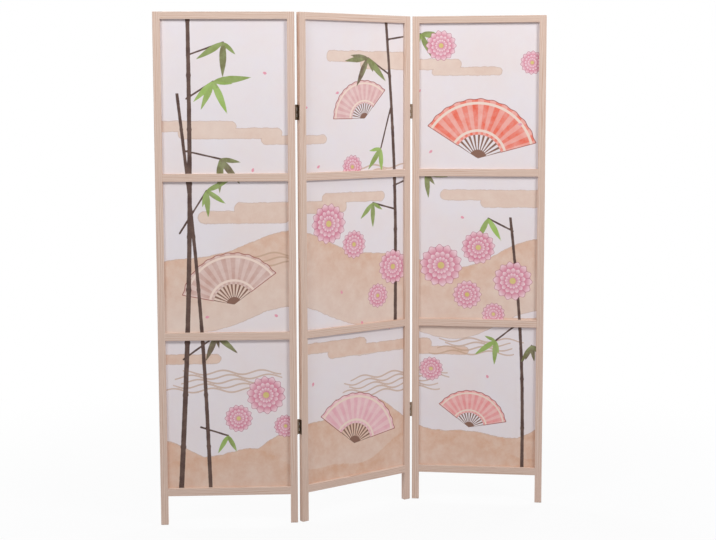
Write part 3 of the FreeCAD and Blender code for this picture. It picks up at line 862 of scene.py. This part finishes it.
# %% Ground, banks and water
# millimetres: how far a wash wanders, and half the thickness of the lines round shapes
BANK_WAVER = 14
BANK_LINE, FAN_LINE, FLOWER_LINE = 1.3, 1.2, 1.0


def paint_land(side):
    """The pale ground, the sand-coloured banks and mist with their rims, and the lines of water."""
    picture = side.lay("#ece5ea", "#ede1e1", side.patch)
    picture = side.lay(picture, "#efe9e6", side.mottle, 0.3)
    bank = side.wavering("bank", BANK_WAVER)
    sand = side.lay("#eadbd3", "#deb296", side.stored["bank_tone"])
    sand = side.lay(sand, "#d6aa90", side.patch, 0.3)
    sand = side.lay(sand, "#efdccf", side.mottle, 0.55)
    picture = side.lay(picture, sand, side.inside(bank))
    picture = side.lay(picture, "#bd957b", side.outline(bank, BANK_LINE), 0.4)
    return side.lay(picture, "#c8a68c", side.inside(side.stored["water"]), 0.7)


# %% [markdown]
# A fan's paper is lit on one face of every pleat, and two pale ribbons run round it. Below the paper only
# the dark sticks are there, so between them the ground shows.

# %% Fans
RIBBONS, RIBBON_HALF, RIBBON_EDGE = (0.93, 0.47), 0.022, 0.004
# within this share of the radius the sticks lie on each other and leave no gaps
PIVOT = 0.15


def paint_fans(side, picture):
    """Pleated paper with ribbons, on a sheaf of dark sticks."""
    radius, angle = side.polar("fan")
    half_turns = math.pi * FAN_PLEATS
    phase = add_node(side.tree, "ShaderNodeMath", {
        0: angle, 1: half_turns / FAN_SPREAD, 2: half_turns}, operation="MULTIPLY_ADD").outputs[0]
    pleat = add_node(side.tree, "ShaderNodeMath", {0: phase}, operation="COSINE").outputs[0]
    paper = "#ee6f58"
    for start, tone in ((0, "#eab1bb"), (0.5, "#cfa79b")):
        share = add_node(side.tree, "ShaderNodeMapRange", {
            "Value": side.stored["fan_hue"], "From Min": start, "From Max": start + 0.5})
        paper = side.lay(paper, tone, share.outputs[0])
    lit = add_node(side.tree, "ShaderNodeMapRange", {
        "Value": pleat, "From Min": -0.2, "From Max": 0.2, "To Min": 0, "To Max": 0.3})
    paper = side.lay(paper, "#fbe9e2", lit.outputs[0])
    paper = side.lay(paper, "#fff3ee", side.mottle, 0.3)
    for ribbon in RIBBONS:
        off = add_node(side.tree, "ShaderNodeMath", {0: radius, 1: ribbon}, operation="SUBTRACT")
        paper = side.lay(paper, "#f3dccf", side.outline(off.outputs[0], RIBBON_HALF, RIBBON_EDGE))

    ridge = add_node(side.tree, "ShaderNodeMath", {0: pleat, 1: -1}, operation="MULTIPLY")
    sticks = add_node(side.tree, "ShaderNodeMath", {
        0: side.inside(ridge.outputs[0], -0.15, 0.1), 1: side.inside(radius, PIVOT, 0.01)},
        operation="MAXIMUM").outputs[0]
    below_paper = side.inside(radius, FAN_INNER, 0.006)
    gaps = side.without(below_paper, sticks)
    fan = side.stored["fan"]
    painted = side.lay(paper, "#8d6a5c", below_paper)
    picture = side.lay(picture, painted, side.without(side.inside(fan), gaps))
    return side.lay(picture, "#a5605a", side.without(side.outline(fan, FAN_LINE), below_paper))


# %% Bamboo over the fans
STEM_WAVER, LEAF_WAVER = 3, 2.5


def paint_bamboo(side, picture):
    """Dark stems and twigs, and leaves from green to brown."""
    bark = side.lay("#56423d", "#8a7266", side.mottle, 0.5)
    picture = side.lay(picture, bark, side.inside(side.wavering("stem", STEM_WAVER)))
    green = side.lay("#9fc063", "#6d564c", side.stored["leaf_tone"])
    green = side.lay(green, "#c3d59b", side.mottle, 0.4)
    return side.lay(picture, green, side.inside(side.wavering("leaf", LEAF_WAVER)))


# %% [markdown]
# A chrysanthemum is painted from the outside in. Each ring of petals is pale at the tips and deep at the
# root, with a darker line between two petals. The cosine that shapes the petals flips its sign from ring to
# ring, so that the petals of one ring stand in the gaps of the next.

# %% Chrysanthemums over the bamboo
PETAL_EDGE = 0.01


def paint_flowers(side, picture):
    """Rings of petals round a yellow heart, and the single petals that drift."""
    radius, angle = side.polar("flower")
    turns = add_node(side.tree, "ShaderNodeMath", {0: angle, 1: FLOWER_PETALS}, operation="MULTIPLY")
    wave = add_node(side.tree, "ShaderNodeMath", {0: turns.outputs[0]}, operation="COSINE").outputs[0]
    bloom = "#d9829a"
    for outer, inner in FLOWER_RINGS:
        share = add_node(side.tree, "ShaderNodeMapRange", {
            "Value": radius, "From Min": inner, "From Max": outer})
        petals = side.lay("#d9829a", "#f6dbe1", share.outputs[0])
        petals = side.lay(petals, "#c8718a", side.inside(wave, -0.9, 0.06), 0.75)
        edge = add_node(side.tree, "ShaderNodeMath", {
            0: wave, 1: PETAL_TIP * outer, 2: PETAL_NECK * outer}, operation="MULTIPLY_ADD")
        off = add_node(side.tree, "ShaderNodeMath", {0: radius, 1: edge.outputs[0]}, operation="SUBTRACT")
        bloom = side.lay(bloom, petals, side.inside(off.outputs[0], 0, PETAL_EDGE))
        wave = add_node(side.tree, "ShaderNodeMath", {0: wave, 1: -1}, operation="MULTIPLY").outputs[0]
    heart = FLOWER_RINGS[-1][1]
    bloom = side.lay(bloom, "#d8c272", side.inside(radius, heart, PETAL_EDGE))
    bloom = side.lay(bloom, "#fbeef0", side.mottle, 0.22)
    flower = side.stored["flower"]
    picture = side.lay(picture, bloom, side.inside(flower))
    picture = side.lay(picture, "#b9677f", side.outline(flower, FLOWER_LINE), 0.8)
    return side.lay(picture, "#e9a2b2", side.inside(side.stored["petal"]))


# %% The canvas's two sides
WEAVE_HEIGHT = 0.1 * MM


def make_canvas(name, bare, blur):
    """Printed canvas. Bare is how much plain cloth covers the print, blur how soft its edges are."""
    side = Side(name, blur)
    picture = paint_land(side)
    for paint in (paint_fans, paint_bamboo, paint_flowers):
        picture = paint(side, picture)
    cloth = side.lay("#e9e2dc", "#e3dad4", side.mottle)
    side.tree.links.new(side.lay(picture, cloth, bare), side.surface.inputs["Base Color"])
    bump = add_node(side.tree, "ShaderNodeBump", {
        "Height": side.noises["weave"], "Distance": WEAVE_HEIGHT, "Strength": 0.35})
    side.tree.links.new(bump.outputs[0], side.surface.inputs["Normal"])
    side.surface.inputs["Roughness"].default_value = 0.82
    side.surface.inputs["Specular IOR Level"].default_value = 0.25
    print(name, "is made of", len(side.tree.nodes), "nodes")
    return side.material


canvas_front = make_canvas("printed_nonwoven_canvas", 0, 1)
canvas_back = make_canvas("nonwoven_canvas_back", 0.88, 6)

# %% The three sheets in their frames
for number, panel in enumerate(TURNS):
    sheet, flat = make_sheet(panel, number)
    sheet.data.materials.append(canvas_front)
    sheet.data.materials.append(canvas_back)
    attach(sheet, panel)
    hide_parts(panel + "_printed_sheet")
    print(sheet.name, "triangles:", sum(len(face.vertices) - 2 for face in sheet.data.polygons))

# %% [markdown]
# ## Studio
#
# A product picture like this is lit by large soft lamps in a white room. Two stand in front, left and right
# and above the screen, so that each rail throws a thin shadow on the canvas below it and the outer stiles
# throw one inwards. Two more stand behind, for anyone who walks round the screen. All of them aim above it,
# which lights its top more than its foot. The walls are white to the camera and to anything shiny, and much
# dimmer as a source of light.

# %% White room
ROOM_LIGHT = 0.35

world = bpy.data.worlds.new("white_room")
bpy.context.scene.world = world
world.use_nodes = True
room = world.node_tree
room.nodes.clear()
path = add_node(room, "ShaderNodeLightPath")
seen = path.outputs["Is Camera Ray"]
for ray in ("Is Glossy Ray", "Is Transmission Ray"):
    seen = add_node(room, "ShaderNodeMath", {0: seen, 1: path.outputs[ray]}, operation="MAXIMUM").outputs[0]
strength = add_node(room, "ShaderNodeMapRange", {"Value": seen, "To Min": ROOM_LIGHT, "To Max": 1})
walls = add_node(room, "ShaderNodeBackground", {
    "Color": (1, 1, 1, 1), "Strength": strength.outputs[0]})
add_node(room, "ShaderNodeOutputWorld", {"Surface": walls.outputs[0]})
print("the walls shine at", ROOM_LIGHT, "of what the camera sees")

# %% Lamps
LAMP_SIZE, LAMP_HEIGHT = 1.1, 3.6
LAMP_AIM = Vector((0, 0, 3))
LAMPS = (
    # name, across, back, watts
    ("front_left_lamp", -2.1, -2.4, 63),
    ("front_right_lamp", 2.4, -2.3, 96),
    ("back_left_lamp", -2.1, 2.4, 88),
    ("back_right_lamp", 2.1, 2.4, 88),
)
for name, across, back, power in LAMPS:
    lamp = bpy.data.lights.new(name, "AREA")
    lamp.shape = "RECTANGLE"
    lamp.size, lamp.size_y, lamp.energy = LAMP_SIZE, LAMP_SIZE, power
    holder = bpy.data.objects.new(name, lamp)
    place = Vector((across, back, LAMP_HEIGHT))
    holder.location = place
    holder.rotation_euler = (LAMP_AIM - place).to_track_quat("-Z", "Y").to_euler()
    bpy.context.scene.collection.objects.link(holder)
print("lamps:", [name for name, *_ in LAMPS])

# %% [markdown]
# The floor is pale and far-reaching. Close to the screen it keeps the soft shadow of the legs, and further
# out it turns into plain white, so no edge of the floor shows anywhere.

# %% Floor
FLOOR_RADIUS = 40
# metres from the middle: where the floor begins to turn white, and where it is quite white
FADE_START, FADE_END = 0.7, 2.4
# how white it is before that
NEAR_WHITE = 0.93

floor_mesh = bpy.data.meshes.new("floor")
bm = bmesh.new()
bmesh.ops.create_circle(bm, cap_ends=True, segments=96, radius=FLOOR_RADIUS)
bm.to_mesh(floor_mesh)
bm.free()
floor = bpy.data.objects.new("floor", floor_mesh)
bpy.context.scene.collection.objects.link(floor)
material, tree, surface = new_material("painted_floor")
surface.inputs["Base Color"].default_value = colour("#bfbfc3")
surface.inputs["Roughness"].default_value = 0.9
place = add_node(tree, "ShaderNodeTexCoord").outputs["Object"]
away = add_node(tree, "ShaderNodeVectorMath", {0: place}, operation="LENGTH").outputs["Value"]
fade = add_node(tree, "ShaderNodeMapRange", {
    "Value": away, "From Min": FADE_START, "From Max": FADE_END, "To Min": NEAR_WHITE, "To Max": 1},
    interpolation_type="SMOOTHSTEP")
path = add_node(tree, "ShaderNodeLightPath")
seen = add_node(tree, "ShaderNodeMath", {
    0: path.outputs["Is Camera Ray"], 1: path.outputs["Is Glossy Ray"]}, operation="MAXIMUM")
share = add_node(tree, "ShaderNodeMath", {0: seen.outputs[0], 1: fade.outputs[0]}, operation="MULTIPLY")
glow = add_node(tree, "ShaderNodeEmission", {"Color": (1, 1, 1, 1), "Strength": 1})
mixed = add_node(tree, "ShaderNodeMixShader", {
    0: share.outputs[0], 1: surface.outputs[0], 2: glow.outputs[0]})
output = next(node for node in tree.nodes if node.type == "OUTPUT_MATERIAL")
tree.links.new(mixed.outputs[0], output.inputs["Surface"])
floor_mesh.materials.append(material)
print("the floor is white from", FADE_END, "metres on")

# %% [markdown]
# ## Camera
#
# The picture was taken from a little above the middle of the screen and about four and a half metres away,
# with the camera tipped down slightly. The lens and the place below put the corners of the frames on the
# photograph's.

# %% Camera
CAMERA_PLACE = (-0.2172, -4.5891, 1.4140)
# degrees: turned to the left, tipped up from straight down, and then rolled
CAMERA_TURN, CAMERA_TIP, CAMERA_ROLL = -2.833, 84.061, -0.161

camera_data = bpy.data.cameras.new("camera")
camera_data.sensor_width = 36
camera_data.lens = 68.25
camera_data.shift_y = -0.04
camera = bpy.data.objects.new("camera", camera_data)
camera.location = CAMERA_PLACE
aim = Matrix.Rotation(math.radians(CAMERA_TURN), 4, "Z")
aim = aim @ Matrix.Rotation(math.radians(CAMERA_TIP), 4, "X")
aim = aim @ Matrix.Rotation(math.radians(CAMERA_ROLL), 4, "Z")
camera.rotation_euler = aim.to_euler()
bpy.context.scene.collection.objects.link(camera)
bpy.context.scene.camera = camera
bpy.context.scene.view_settings.view_transform = "Standard"
print("camera at", [round(value, 3) for value in camera.location])
